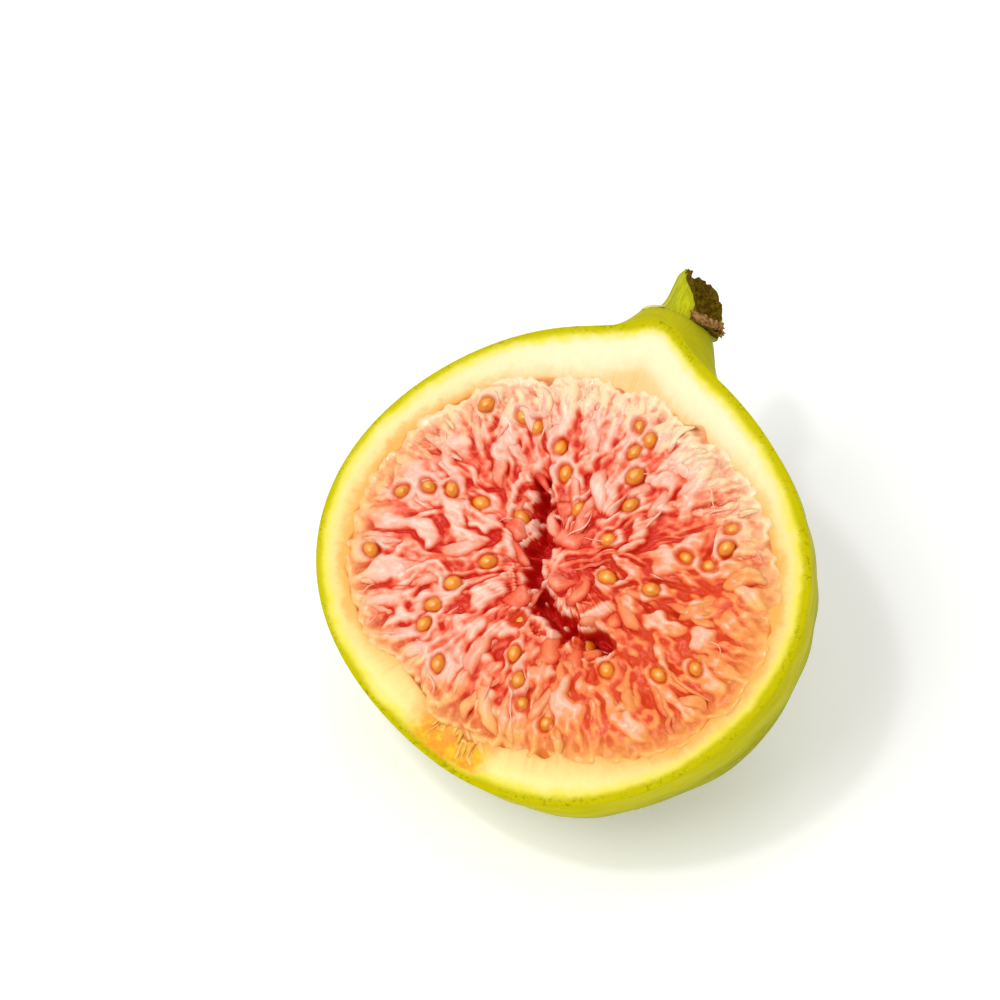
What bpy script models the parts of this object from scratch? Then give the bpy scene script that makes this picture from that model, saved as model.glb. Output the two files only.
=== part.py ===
"""Half of a fresh green fig, cut lengthwise, resting on its rounded skin with the cut face up.

The fruit is drawn in its own fruit frame first. There the cut face lies in the XY plane and faces +Z,
the stalk end is at +Y and the eye, the small opening at the blossom end, is at -Y. One empty then
carries every piece to the pose in which the half rests, with its flattened spot on Z = 0.
"""

import math
import random
from collections import namedtuple

import bmesh
import bpy
from mathutils import Matrix, Vector

MM = 0.001

# Outline of the cut face and of the pink flesh in it, as a mean radius and gentle waves round the fruit.
# Each wave is (how many lobes, cosine part, sine part).
CUT_RADIUS = 25.2 * MM
CUT_WAVES = ((1, 0.0, -0.4 * MM), (2, 1.2 * MM, -0.5 * MM), (3, -0.1 * MM, -0.3 * MM), (4, 0.2 * MM, 0.3 * MM))
FLESH_RADIUS = 21.4 * MM
FLESH_WAVES = ((1, 0.1 * MM, -1.1 * MM), (2, 2.0 * MM, -0.2 * MM), (3, 0.1 * MM, -0.4 * MM))

# The rounded back. The knife passed in front of the middle, so the skin bulges a little beyond the cut.
MIDDLE_BEHIND_CUT = 1.0 * MM
HALF_DEPTH = 23.0 * MM
STALK_END_LEANER = 0.07
FLESH_DEPTH = 19.8 * MM
PIECE_GAP = 0.3 * MM

# The neck on the shoulder, and the short stalk stub that stands on it, torn off on a steep slant.
NECK_TOP = Vector((-2.4, 27.8, -5.2)) * MM
NECK_AXIS = Vector((-0.12, 0.99, -0.03)).normalized()
NECK_RISE = 5.4 * MM
NECK_HALF_WIDTH = 4.5 * MM
STALK_BESIDE_NECK_AXIS = 0.9 * MM
STALK_RADIUS = 3.2 * MM
STALK_TIP_RADIUS = 2.8 * MM
STALK_HEIGHT = 5.2 * MM
TORN_HEIGHT = 2.8 * MM
TORN_NORMAL = Vector((0.64, 0.71, 0.30)).normalized()
# Each dry bract at the foot of the stub, as where it points round the neck and how far it reaches out.
BRACTS = ((math.radians(168), 2.9 * MM), (math.radians(52), 1.1 * MM), (math.radians(285), 1.4 * MM))
BRACT_WIDTH = 3.4 * MM
BRACT_THICKNESS = 0.8 * MM

# The eye: a groove through the wall at the blossom end, filled by small scales on a shallow core.
EYE_ANGLE = math.radians(-97.0)
EYE_HALF_WIDTH = 4.2 * MM
EYE_DEPTH = 1.9 * MM
EYE_SCALES = 15
SCALE_WIDTH = 1.1 * MM
SCALE_THICKNESS = 0.7 * MM
SCALE_BOW = 0.15 * MM
CORE_HALF_LENGTH = 3.3 * MM
CORE_THICKNESS = 1.2 * MM
CORE_SUNK = 0.75 * MM

# How far along a drop its fullest place is, where a power of 1 would put it at half way, and how blunt its
# ends are, where a lower power is blunter.
DROP_FULLNESS = 1.2
DROP_BLUNTNESS = 0.75

# The flesh: florets that grow inwards from the wall and lie towards a narrow cleft in the middle.
FLORET_COUNT = 118
FLORET_SEED = 12
SEED_EVERY = 3
SEED_LENGTH = 1.9 * MM
SEED_WIDTH = 1.5 * MM
SEED_ALONG_FLORET = 0.62
FLORET_THICKNESS_TO_WIDTH = 0.72
FLORET_ROOT_SUNK = 0.5 * MM
FLESH_SUNK = 0.5 * MM
CLEFT = [Vector(p) * MM for p in ((-5.9, 5.5), (-3.6, 1.2), (-2.9, -2.3), (1.3, -6.2), (7.3, -6.1))]
CLEFT_DEPTH = 5.0 * MM
CLEFT_HALF_WIDTH = 1.5 * MM
MEETING_POINT = Vector((-1.2, -1.2)) * MM

# How the half rests: the cut face leans this far from level, towards this heading, turned about itself.
LEAN = math.radians(24.0)
LEAN_HEADING = math.radians(-137.4)
TURN = math.radians(107.0)
PRESSED_FLAT = 1.4 * MM

SKIN = ("fig_skin", (0.55, 0.60, 0.03, 1.0), 0.42)
FLESH = ("fig_flesh", (0.80, 0.22, 0.16, 1.0), 0.28)
SCALE = ("eye_scales", (0.85, 0.52, 0.12, 1.0), 0.45)
STALK = ("stalk_bark", (0.36, 0.36, 0.05, 1.0), 0.6)

Floret = namedtuple("Floret", "share angle heading length width bow has_seed")


def clear_scene():
    for thing in list(bpy.data.objects):
        bpy.data.objects.remove(thing, do_unlink=True)


def wavy_radius(mean, waves, angle):
    return mean + sum(c * math.cos(k * angle) + s * math.sin(k * angle) for k, c, s in waves)


def cut_radius(angle):
    return wavy_radius(CUT_RADIUS, CUT_WAVES, angle)


def flesh_radius(angle):
    return wavy_radius(FLESH_RADIUS, FLESH_WAVES, angle)


def bell(distance, half_width):
    return math.exp(-((distance / half_width) ** 2))


def turn_between(a, b):
    """The signed angle from b to a, between minus and plus half a turn."""
    return (a - b + math.pi) % (2 * math.pi) - math.pi


def spread_angles(count):
    """Angles round the fruit, closer together at the neck and at the eye, where the form changes fast."""
    fine = 7200
    neck_angle = math.atan2(NECK_TOP.y, NECK_TOP.x)
    samples = [2 * math.pi * (i + 0.5) / fine for i in range(fine)]
    dense = [
        1 + 1.6 * bell(turn_between(a, neck_angle), 0.32) + 2.2 * bell(turn_between(a, EYE_ANGLE), 0.16)
        for a in samples
    ]
    step = sum(dense) / count
    angles, walked = [], 0.0
    for angle, weight in zip(samples, dense):
        walked += weight
        if walked >= step * (len(angles) + 1) - 1e-6:
            angles.append(angle)
    return angles


def ease(value, start, end):
    """A smooth step from 0 at start to 1 at end."""
    share = min(1.0, max(0.0, (value - start) / (end - start)))
    return share * share * (3 - 2 * share)


def eye_groove(x, y):
    """How far the cut face dips at a point, for the groove of the eye. It fades into flesh and skin."""
    along = x * math.cos(EYE_ANGLE) + y * math.sin(EYE_ANGLE)
    across = y * math.cos(EYE_ANGLE) - x * math.sin(EYE_ANGLE)
    inner, outer = flesh_radius(EYE_ANGLE), cut_radius(EYE_ANGLE)
    open_share = ease(along, 0.80 * inner, 1.02 * inner) * (1 - 0.6 * ease(along, outer - 1.8 * MM, outer))
    return EYE_DEPTH * open_share * bell(across, EYE_HALF_WIDTH)


def with_neck(point):
    """Raises a point of the skin into the neck, whose top is cut off flat for the stalk."""
    from_top = point - NECK_TOP
    up = from_top.dot(NECK_AXIS)
    aside = (from_top - NECK_AXIS * up).length
    if point.y < 0:
        return point
    rise = NECK_RISE / (1 + (aside / NECK_HALF_WIDTH) ** 6)
    return point + NECK_AXIS * (min(up + rise, 0.0) - up)


def skin_point(angle, share):
    """A point of the skin: share 0 is on the cut edge, and share 1 is the middle of the back."""
    edge = cut_radius(angle)
    dip = eye_groove(edge * math.cos(angle), edge * math.sin(angle))
    start = math.asin((dip - MIDDLE_BEHIND_CUT) / HALF_DEPTH)
    at_cut = math.asin(-MIDDLE_BEHIND_CUT / HALF_DEPTH)
    turn = start + (math.pi / 2 - start) * share
    across = edge / math.cos(at_cut) * math.cos(turn)
    leaner = 1 - STALK_END_LEANER * math.sin(angle) * math.sin(turn) * math.cos(turn)
    back = MIDDLE_BEHIND_CUT + HALF_DEPTH * math.sin(turn) * leaner
    return with_neck(Vector((across * math.cos(angle), across * math.sin(angle), -back)))


def hollow_point(angle, share, inset=0.0):
    """A point of the hollow that the flesh fills. A positive inset lies inside it, clear of the wall."""
    turn = math.pi / 2 * share
    across = (flesh_radius(angle) - inset) * math.cos(turn)
    return Vector((across * math.cos(angle), across * math.sin(angle), -(FLESH_DEPTH - inset) * math.sin(turn)))


def bridge(bm, lower, upper):
    """Joins two rings of vertices, or a ring and the single vertex that ends it."""
    many = max(len(lower), len(upper))
    for i in range(many):
        j = (i + 1) % many
        if len(lower) == 1:
            bm.faces.new((lower[0], upper[j], upper[i]))
        elif len(upper) == 1:
            bm.faces.new((lower[i], lower[j], upper[0]))
        else:
            bm.faces.new((lower[i], lower[j], upper[j], upper[i]))


def closed_skin(rings):
    """A bmesh through rings of points, first to last. The first and last ring are single points."""
    bm = bmesh.new()
    rows = [[bm.verts.new(p) for p in ring] for ring in rings]
    for lower, upper in zip(rows, rows[1:]):
        bridge(bm, lower, upper)
    bmesh.ops.recalc_face_normals(bm, faces=bm.faces[:])
    return bm


def finish_of(name, colour, roughness):
    made = bpy.data.materials.get(name) or bpy.data.materials.new(name)
    made.use_nodes = True
    shader = made.node_tree.nodes["Principled BSDF"]
    shader.inputs["Base Color"].default_value = colour
    shader.inputs["Roughness"].default_value = roughness
    return made


def new_object(name, bm, finish):
    mesh = bpy.data.meshes.new(name)
    bm.to_mesh(mesh)
    bm.free()
    mesh.shade_smooth()
    mesh.materials.append(finish_of(*finish))
    made = bpy.data.objects.new(name, mesh)
    bpy.context.scene.collection.objects.link(made)
    return made


def without_pockets(mesh):
    """Fills the small pockets left where shapes grew together, by keeping only the outer skin."""
    bm = bmesh.new()
    bm.from_mesh(mesh)
    left, shells = set(bm.verts), []
    while left:
        front, shell = [left.pop()], []
        while front:
            vertex = front.pop()
            shell.append(vertex)
            beside = {edge.other_vert(vertex) for edge in vertex.link_edges} & left
            left -= beside
            front.extend(beside)
        shells.append(shell)
    outer = max(shells, key=len)
    bmesh.ops.delete(bm, geom=[v for shell in shells if shell is not outer for v in shell], context="VERTS")
    bm.to_mesh(mesh)
    bm.free()
    return mesh


def fused(body, extras):
    """One solid of a body and the shapes that grow from it, by one Boolean union on a collection."""
    grown = bpy.data.collections.new("grown_on_" + body.name)
    bpy.context.scene.collection.children.link(grown)
    for number, bm in enumerate(extras):
        extra = new_object(f"{body.name}_{number}", bm, FLESH)
        bpy.context.scene.collection.objects.unlink(extra)
        grown.objects.link(extra)
    union = body.modifiers.new("grown together", "BOOLEAN")
    union.operation = "UNION"
    union.operand_type = "COLLECTION"
    union.collection = grown
    union.solver = "MANIFOLD"
    finish = body.data.materials[0]
    graph = bpy.context.evaluated_depsgraph_get()
    joined = bpy.data.meshes.new_from_object(body.evaluated_get(graph))
    joined.materials.clear()
    joined.materials.append(finish)
    body.modifiers.clear()
    body.data = without_pockets(joined)
    for extra in list(grown.objects):
        bpy.data.objects.remove(extra, do_unlink=True)
    bpy.data.collections.remove(grown)
    return body


def drop(root, tip, width, thickness, bow, facing, stations=(0.18, 0.48, 0.8), sides=6):
    """A soft drop from root to tip, fullest past its middle, arched by bow along the way it faces."""
    along = tip - root
    side = along.cross(facing).normalized()
    up = side.cross(along).normalized()
    rings = [[root]]
    for u in stations:
        centre = root + along * u + up * (bow * math.sin(math.pi * u))
        swell = math.sin(math.pi * u**DROP_FULLNESS) ** DROP_BLUNTNESS
        rings.append([
            centre
            + side * (width / 2 * swell * math.cos(2 * math.pi * k / sides))
            + up * (thickness / 2 * swell * math.sin(2 * math.pi * k / sides))
            for k in range(sides)
        ])
    rings.append([tip])
    return closed_skin(rings)


def floret_layout():
    """Where each floret lies, by a sunflower spiral from the cleft to the wall, with seeded irregularity."""
    draw = random.Random(FLORET_SEED)
    golden = math.pi * (3 - math.sqrt(5))
    placed = []
    for i in range(FLORET_COUNT):
        share = math.sqrt(0.05 + 0.87 * (i + 0.5) / FLORET_COUNT)
        angle = i * golden + draw.uniform(-0.12, 0.12)
        placed.append(Floret(
            share=share,
            angle=angle,
            heading=draw.gauss(0.0, 0.34),
            length=(4.2 + 2.4 * share) * draw.uniform(0.85, 1.2) * MM,
            width=(2.7 - 0.5 * share) * draw.uniform(0.8, 1.2) * MM,
            bow=draw.uniform(0.2, 0.75) * MM,
            has_seed=i % SEED_EVERY == 0,
        ))
    return placed


def cleft_distance(x, y):
    """How far a point of the cut face is from the middle line of the cleft."""
    here = Vector((x, y))
    nearest = math.inf
    for a, b in zip(CLEFT, CLEFT[1:]):
        share = min(1.0, max(0.0, (here - a).dot(b - a) / (b - a).length_squared))
        nearest = min(nearest, (here - (a + (b - a) * share)).length)
    return nearest


def flesh_height(x, y):
    """Height of the bed that the florets lie on: level with the wall at its edge, and sunk in the cleft."""
    share = min(1.0, math.hypot(x, y) / flesh_radius(math.atan2(y, x)))
    sunk = FLESH_SUNK * (1 - share**6)
    return -sunk - CLEFT_DEPTH * bell(cleft_distance(x, y), CLEFT_HALF_WIDTH) - eye_groove(x, y)


def floret_ends(floret):
    """Root and tip of a floret. Its root is sunk in the bed, and it points at where all of them meet."""
    reach = floret.share * flesh_radius(floret.angle)
    middle = Vector((reach * math.cos(floret.angle), reach * math.sin(floret.angle)))
    inward = math.atan2(MEETING_POINT.y - middle.y, MEETING_POINT.x - middle.x) + floret.heading
    step = Vector((math.cos(inward), math.sin(inward))) * floret.length / 2
    root, tip = middle - step, middle + step
    longest = (flesh_radius(math.atan2(root.y, root.x)) - 0.9 * MM) / max(root.length, MM)
    root = root * min(1.0, longest)
    root_z = flesh_height(root.x, root.y) - FLORET_ROOT_SUNK
    tip_z = max(flesh_height(tip.x, tip.y), flesh_height(middle.x, middle.y) - 1.6 * MM) + 0.15 * MM
    return Vector((root.x, root.y, root_z)), Vector((tip.x, tip.y, tip_z))


def floret_drops():
    """The florets, and the seeds that show in every third of them, as low shapes to be fused to the bed."""
    facing = Vector((0, 0, 1))
    for floret in floret_layout():
        root, tip = floret_ends(floret)
        thickness = FLORET_THICKNESS_TO_WIDTH * floret.width
        yield drop(root, tip, floret.width, thickness, floret.bow, facing)
        if floret.has_seed:
            along = (tip - root).normalized()
            centre = root.lerp(tip, SEED_ALONG_FLORET) + facing * (floret.bow + 0.42 * thickness)
            half = along * SEED_LENGTH / 2
            yield drop(centre - half, centre + half, SEED_WIDTH, SEED_WIDTH, 0.0, facing, (0.2, 0.5, 0.8))


def make_fruit_wall():
    """The green skin and the cream wall under it: one body that grew as one, hollow for the flesh."""
    angles = spread_angles(76)
    skin_rows, face_rows, hollow_rows = 15, 2, 9
    rings = [[Vector((0, 0, hollow_point(0.0, 1.0).z))]]
    for row in range(hollow_rows - 1, 0, -1):
        rings.append([hollow_point(a, row / hollow_rows) - Vector((0, 0, groove_at(a, row, hollow_rows)))
                      for a in angles])
    for row in range(face_rows + 1):
        rings.append([face_point(a, row / face_rows) for a in angles])
    for row in range(1, skin_rows):
        rings.append([skin_point(a, (row / skin_rows) ** 1.2) for a in angles])
    rings.append([skin_point(0.0, 1.0)])
    return new_object("fruit_wall", closed_skin(rings), SKIN)


def groove_at(angle, row, rows):
    """How far the hollow's side dips under the eye's groove, so that the groove opens into the hollow."""
    edge = flesh_radius(angle)
    return eye_groove(edge * math.cos(angle), edge * math.sin(angle)) * max(0.0, 1 - 3 * row / rows)


def face_point(angle, share):
    """A point of the cream ring on the cut face: share 0 is at the flesh, and share 1 at the skin."""
    if share >= 1.0:
        return skin_point(angle, 0.0)
    across = flesh_radius(angle) * (1 - share) + cut_radius(angle) * share
    x, y = across * math.cos(angle), across * math.sin(angle)
    return Vector((x, y, -eye_groove(x, y)))


def make_florets():
    """The pink flesh that fills the hollow: a bed with its florets and seeds standing out of it."""
    angles = [2 * math.pi * i / 60 for i in range(60)]
    top_rows, under_rows = 13, 5
    rings = [[Vector((0, 0, flesh_height(0.0, 0.0)))]]
    for row in range(1, top_rows + 1):
        rings.append([bed_point(a, row / top_rows) for a in angles])
    for row in range(1, under_rows):
        rings.append([hollow_point(a, (row + 0.6) / (under_rows + 0.6), PIECE_GAP + 0.1 * MM) for a in angles])
    rings.append([hollow_point(0.0, 1.0, PIECE_GAP + 0.1 * MM)])
    return fused(new_object("florets", closed_skin(rings), FLESH), floret_drops())


def bed_point(angle, share):
    across = (flesh_radius(angle) - PIECE_GAP - 0.05 * MM) * share
    x, y = across * math.cos(angle), across * math.sin(angle)
    return Vector((x, y, flesh_height(x, y)))


def make_eye_scales():
    """The small overlapping scales that close the eye, cut lengthwise with the fruit."""
    outward = Vector((math.cos(EYE_ANGLE), math.sin(EYE_ANGLE), 0))
    across = Vector((-outward.y, outward.x, 0))
    facing = Vector((0, 0, 1))
    inner = outward * (flesh_radius(EYE_ANGLE) + 0.1 * MM)
    outer = outward * (cut_radius(EYE_ANGLE) - 0.9 * MM)
    middle = inner.lerp(outer, 0.5) - facing * CORE_SUNK
    left, right = middle - across * CORE_HALF_LENGTH, middle + across * CORE_HALF_LENGTH
    core = new_object("eye_scales", drop(left, right, (outer - inner).length, CORE_THICKNESS, 0.0, facing), SCALE)
    scales = []
    for i in range(EYE_SCALES):
        fan = (i / (EYE_SCALES - 1) - 0.5) * 2
        layer = (i % 3) / 2
        root = middle.lerp(outer, -0.3 + 0.5 * layer) + across * (2.3 * MM * fan) + facing * 0.1 * MM
        tip = root + (outer - middle) * (1.1 - 0.4 * abs(fan) - 0.3 * layer) + across * (0.5 * MM * fan) + facing * (
            (0.55 - 0.35 * abs(fan)) * MM)
        scales.append(drop(root, tip, SCALE_WIDTH, SCALE_THICKNESS, SCALE_BOW, facing, (0.2, 0.5, 0.8), 5))
    return fused(core, scales)


def make_stalk():
    """The stub of the stalk, torn off on a slant, with the dry bracts that ring its foot."""
    side = NECK_AXIS.cross(Vector((0, 0, 1))).normalized()
    front = side.cross(NECK_AXIS).normalized()
    base = NECK_TOP + NECK_AXIS * PIECE_GAP + side * STALK_BESIDE_NECK_AXIS
    rows, sides = 6, 20
    rings = [[base]]
    for row in range(rows + 1):
        share = row / rows
        radius = STALK_TIP_RADIUS + (STALK_RADIUS - STALK_TIP_RADIUS) * (1 - share) ** 2
        rings.append([
            base + NECK_AXIS * (STALK_HEIGHT * share)
            + (side * math.cos(2 * math.pi * k / sides) + front * math.sin(2 * math.pi * k / sides)) * radius
            for k in range(sides)
        ])
    rings.append([base + NECK_AXIS * (STALK_HEIGHT + 0.2 * MM)])
    bm = closed_skin(rings)
    cut = bmesh.ops.bisect_plane(bm, geom=bm.verts[:] + bm.edges[:] + bm.faces[:],
                                 plane_co=base + NECK_AXIS * TORN_HEIGHT, plane_no=TORN_NORMAL, clear_outer=True)
    edge = [e for e in cut["geom_cut"] if isinstance(e, bmesh.types.BMEdge)]
    bmesh.ops.contextual_create(bm, geom=edge)
    bmesh.ops.recalc_face_normals(bm, faces=bm.faces[:])
    bracts = []
    for turn, reach in BRACTS:
        out = side * math.cos(turn) + front * math.sin(turn)
        root = base + out * (STALK_RADIUS - 1.6 * MM) + NECK_AXIS * 0.55 * MM
        tip = base + out * (STALK_RADIUS + reach) + NECK_AXIS * 0.35 * MM
        bracts.append(drop(root, tip, BRACT_WIDTH, BRACT_THICKNESS, 0.0, NECK_AXIS))
    return fused(new_object("stalk", bm, STALK), bracts)


def rest_on_skin(pieces, wall):
    """Leans the half back onto its skin, and presses the spot that it rests on flat, onto Z = 0."""
    lean = Matrix.Rotation(LEAN_HEADING, 4, "Z") @ Matrix.Rotation(LEAN, 4, "Y") @ Matrix.Rotation(TURN, 4, "Z")
    down = lean.inverted().to_3x3() @ Vector((0, 0, -1))
    lowest = max((v.co for v in wall.data.vertices), key=lambda co: co.dot(down))
    floor = lowest.dot(down) - PRESSED_FLAT
    bm = bmesh.new()
    bm.from_mesh(wall.data)
    cut = bmesh.ops.bisect_plane(bm, geom=bm.verts[:] + bm.edges[:] + bm.faces[:], plane_co=down * floor,
                                 plane_no=down, clear_outer=True)
    edge = [e for e in cut["geom_cut"] if isinstance(e, bmesh.types.BMEdge)]
    pad = bmesh.ops.contextual_create(bm, geom=edge)["faces"][0]
    rest = pad.calc_center_median_weighted()
    pad.smooth = False
    bmesh.ops.recalc_face_normals(bm, faces=bm.faces[:])
    bm.to_mesh(wall.data)
    bm.free()
    pose = bpy.data.objects.new("resting_pose", None)
    bpy.context.scene.collection.objects.link(pose)
    pose.matrix_world = lean @ Matrix.Translation(-rest)
    for piece in pieces:
        piece.parent = pose


def build():
    clear_scene()
    wall = make_fruit_wall()
    pieces = [wall, make_florets(), make_eye_scales(), make_stalk()]
    rest_on_skin(pieces, wall)


build()
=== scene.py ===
# %% [markdown]
# # Half of a fresh green fig
# A fig is a hollow, fleshy stalk end that is lined with hundreds of tiny flowers, the florets. Cut
# lengthwise it shows a green skin, a cream wall, and pink florets that lie towards a cleft in the middle.
# This lesson dresses the plain solids of one half with finer pieces, each in its own procedural finish. The
# solids stay the frame: every piece here lies where the solid that it stands for lies.

# %% Load the frame
import math
import random
from functools import partial

import bpy
import numpy as np
from mathutils import Matrix, Vector


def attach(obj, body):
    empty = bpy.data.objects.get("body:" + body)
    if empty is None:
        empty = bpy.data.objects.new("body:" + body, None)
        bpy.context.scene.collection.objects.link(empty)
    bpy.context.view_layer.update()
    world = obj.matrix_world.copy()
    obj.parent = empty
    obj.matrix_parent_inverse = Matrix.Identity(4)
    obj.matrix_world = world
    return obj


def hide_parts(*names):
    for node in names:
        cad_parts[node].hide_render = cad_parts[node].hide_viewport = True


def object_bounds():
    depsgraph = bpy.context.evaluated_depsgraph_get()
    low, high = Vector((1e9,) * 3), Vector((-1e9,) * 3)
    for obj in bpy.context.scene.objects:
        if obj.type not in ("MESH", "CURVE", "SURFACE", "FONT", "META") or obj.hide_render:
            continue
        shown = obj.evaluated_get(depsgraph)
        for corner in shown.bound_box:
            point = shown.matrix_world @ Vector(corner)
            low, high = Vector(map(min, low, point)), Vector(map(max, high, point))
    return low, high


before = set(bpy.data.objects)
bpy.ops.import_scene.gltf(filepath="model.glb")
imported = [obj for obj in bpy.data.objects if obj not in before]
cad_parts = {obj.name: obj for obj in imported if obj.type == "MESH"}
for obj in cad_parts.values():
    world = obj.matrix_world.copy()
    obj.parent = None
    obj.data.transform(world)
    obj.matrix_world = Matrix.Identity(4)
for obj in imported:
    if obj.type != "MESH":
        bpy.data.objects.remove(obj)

solid_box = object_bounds()
box_mm = [[round(value * 1000, 1) for value in corner] for corner in solid_box]
print("solids:", sorted(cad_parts), "box in mm:", box_mm)

# %% [markdown]
# ## Two sets of axes
# The fruit is easiest to draw in its own axes, in millimetres: the cut face in the XY plane, the stalk at
# +Y, the eye at -Y, and +Z out of the cut. The half then leans back onto its skin. One matrix carries fruit
# axes to the frame's metres, so every piece below is drawn in the first and stored in the second.

# %% The resting pose
MM = 0.001
LEAN, LEAN_HEADING, TURN = math.radians(24.0), math.radians(-137.4), math.radians(107.0)
FACE_CENTRE = np.array((0.34, 0.58, 23.14)) * MM

lean = Matrix.Rotation(LEAN_HEADING, 3, "Z") @ Matrix.Rotation(LEAN, 3, "Y") @ Matrix.Rotation(TURN, 3, "Z")
TO_FRAME = np.array(lean)


def to_frame(places):
    """Fruit axes in millimetres to the frame's axes in metres. Nothing goes below the surface it rests on."""
    moved = places @ TO_FRAME.T * MM + FACE_CENTRE
    moved[..., 2] = np.maximum(moved[..., 2], 0.0)
    return moved


print("the cut face looks along", np.round(TO_FRAME[:, 2], 3))

# %% [markdown]
# ## The outlines
# Both outlines on the cut face, of the skin and of the flesh, are a mean radius with a few slow waves round
# the fruit, as in the solids. Written for whole arrays, one call gives the radius at every angle at once.

# %% Outlines of the cut face
CUT_RADIUS, CUT_WAVES = 25.2, ((1, 0.0, -0.4), (2, 1.2, -0.5), (3, -0.1, -0.3), (4, 0.2, 0.3))
FLESH_RADIUS, FLESH_WAVES = 21.4, ((1, 0.1, -1.1), (2, 2.0, -0.2), (3, 0.1, -0.4))
EYE_ANGLE, EYE_HALF_WIDTH, EYE_DEPTH = math.radians(-97.0), 4.2, 1.9
CREAM_BESIDE_EYE = ((math.radians(238), 1.6, 0.22), (math.radians(300), 0.6, 0.30))


def wavy_radius(mean, waves, angle):
    return mean + sum(c * np.cos(k * angle) + s * np.sin(k * angle) for k, c, s in waves)


def cut_radius(angle):
    return wavy_radius(CUT_RADIUS, CUT_WAVES, angle)


def flesh_radius(angle):
    """The flesh's outline. The cream is thicker on both sides of the eye than in the solids."""
    thicker = sum(depth * bell((angle - at + math.pi) % (2 * math.pi) - math.pi, half_width)
                  for at, depth, half_width in CREAM_BESIDE_EYE)
    return wavy_radius(FLESH_RADIUS, FLESH_WAVES, angle) - thicker


def share_to_wall(x, y):
    """0 in the middle of the flesh, and 1 on its outline."""
    return np.hypot(x, y) / flesh_radius(np.arctan2(y, x))


def polar(angle, radius=1.0, *others):
    """Places at an angle and a radius round the fruit's middle, with any other measures after these two."""
    return np.stack(np.broadcast_arrays(radius * np.cos(angle), radius * np.sin(angle), *others), axis=-1)


def ease(value, start, end):
    share = np.clip((value - start) / (end - start), 0.0, 1.0)
    return share * share * (3 - 2 * share)


def bell(distance, half_width):
    return np.exp(-((distance / half_width) ** 2))


def unit(vectors):
    """Vectors of the same directions, each 1 long."""
    return vectors / np.linalg.norm(vectors, axis=1, keepdims=True)


def eye_groove(x, y):
    """How far the cut face dips for the groove of the eye."""
    along = x * math.cos(EYE_ANGLE) + y * math.sin(EYE_ANGLE)
    across = y * math.cos(EYE_ANGLE) - x * math.sin(EYE_ANGLE)
    inner, outer = flesh_radius(EYE_ANGLE), cut_radius(EYE_ANGLE)
    open_share = ease(along, 0.80 * inner, 1.02 * inner) * (1 - 0.6 * ease(along, outer - 1.8, outer))
    return EYE_DEPTH * open_share * bell(across, EYE_HALF_WIDTH)


around_samples = np.radians(np.arange(0, 360, 45))
print("skin outline, mm:", np.round(cut_radius(around_samples), 1))
print("flesh outline, mm:", np.round(flesh_radius(around_samples), 1))

# %% [markdown]
# ## Ripples
# Nothing on a fruit is quite even. A sum of a few dozen slow waves in random directions makes a smooth
# unevenness of a chosen size. A noise texture could do it in the material, but then the form itself, and
# its outline against the floor, would stay perfect, so this one moves the points of the mesh.


# %% Smooth unevenness for any set of points
def ripple(places, size, seed, waves=26):
    """Smooth noise of about -1 to 1 at each place, with bumps of about the given size."""
    draw = np.random.default_rng(seed)
    headings = unit(draw.normal(size=(waves, places.shape[-1])))
    headings *= draw.uniform(0.5, 1.5, (waves, 1)) * math.pi / size
    phases = draw.uniform(0, 2 * math.pi, waves)
    total = np.zeros(places.shape[:-1])
    for heading, phase in zip(headings, phases):
        total += np.sin(places @ heading + phase)
    return total * 1.3 / math.sqrt(waves)


# %% [markdown]
# ## One way to make every skin
# Wall, bed, florets, seeds, threads and stalk are all closed skins round a row of rings, so one function
# makes them. It takes the rings of many such forms at once and joins them into one mesh, which keeps a
# piece of several hundred florets quick to build. Numbers kept at each point, such as how near a point is
# to the floret's tip, go with the mesh as attributes, and the finishes read them there.


# %% Closed skins from rings of points
def placed(name, data):
    """Puts a new object into the scene."""
    made = bpy.data.objects.new(name, data)
    bpy.context.scene.collection.objects.link(made)
    return made


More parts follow.
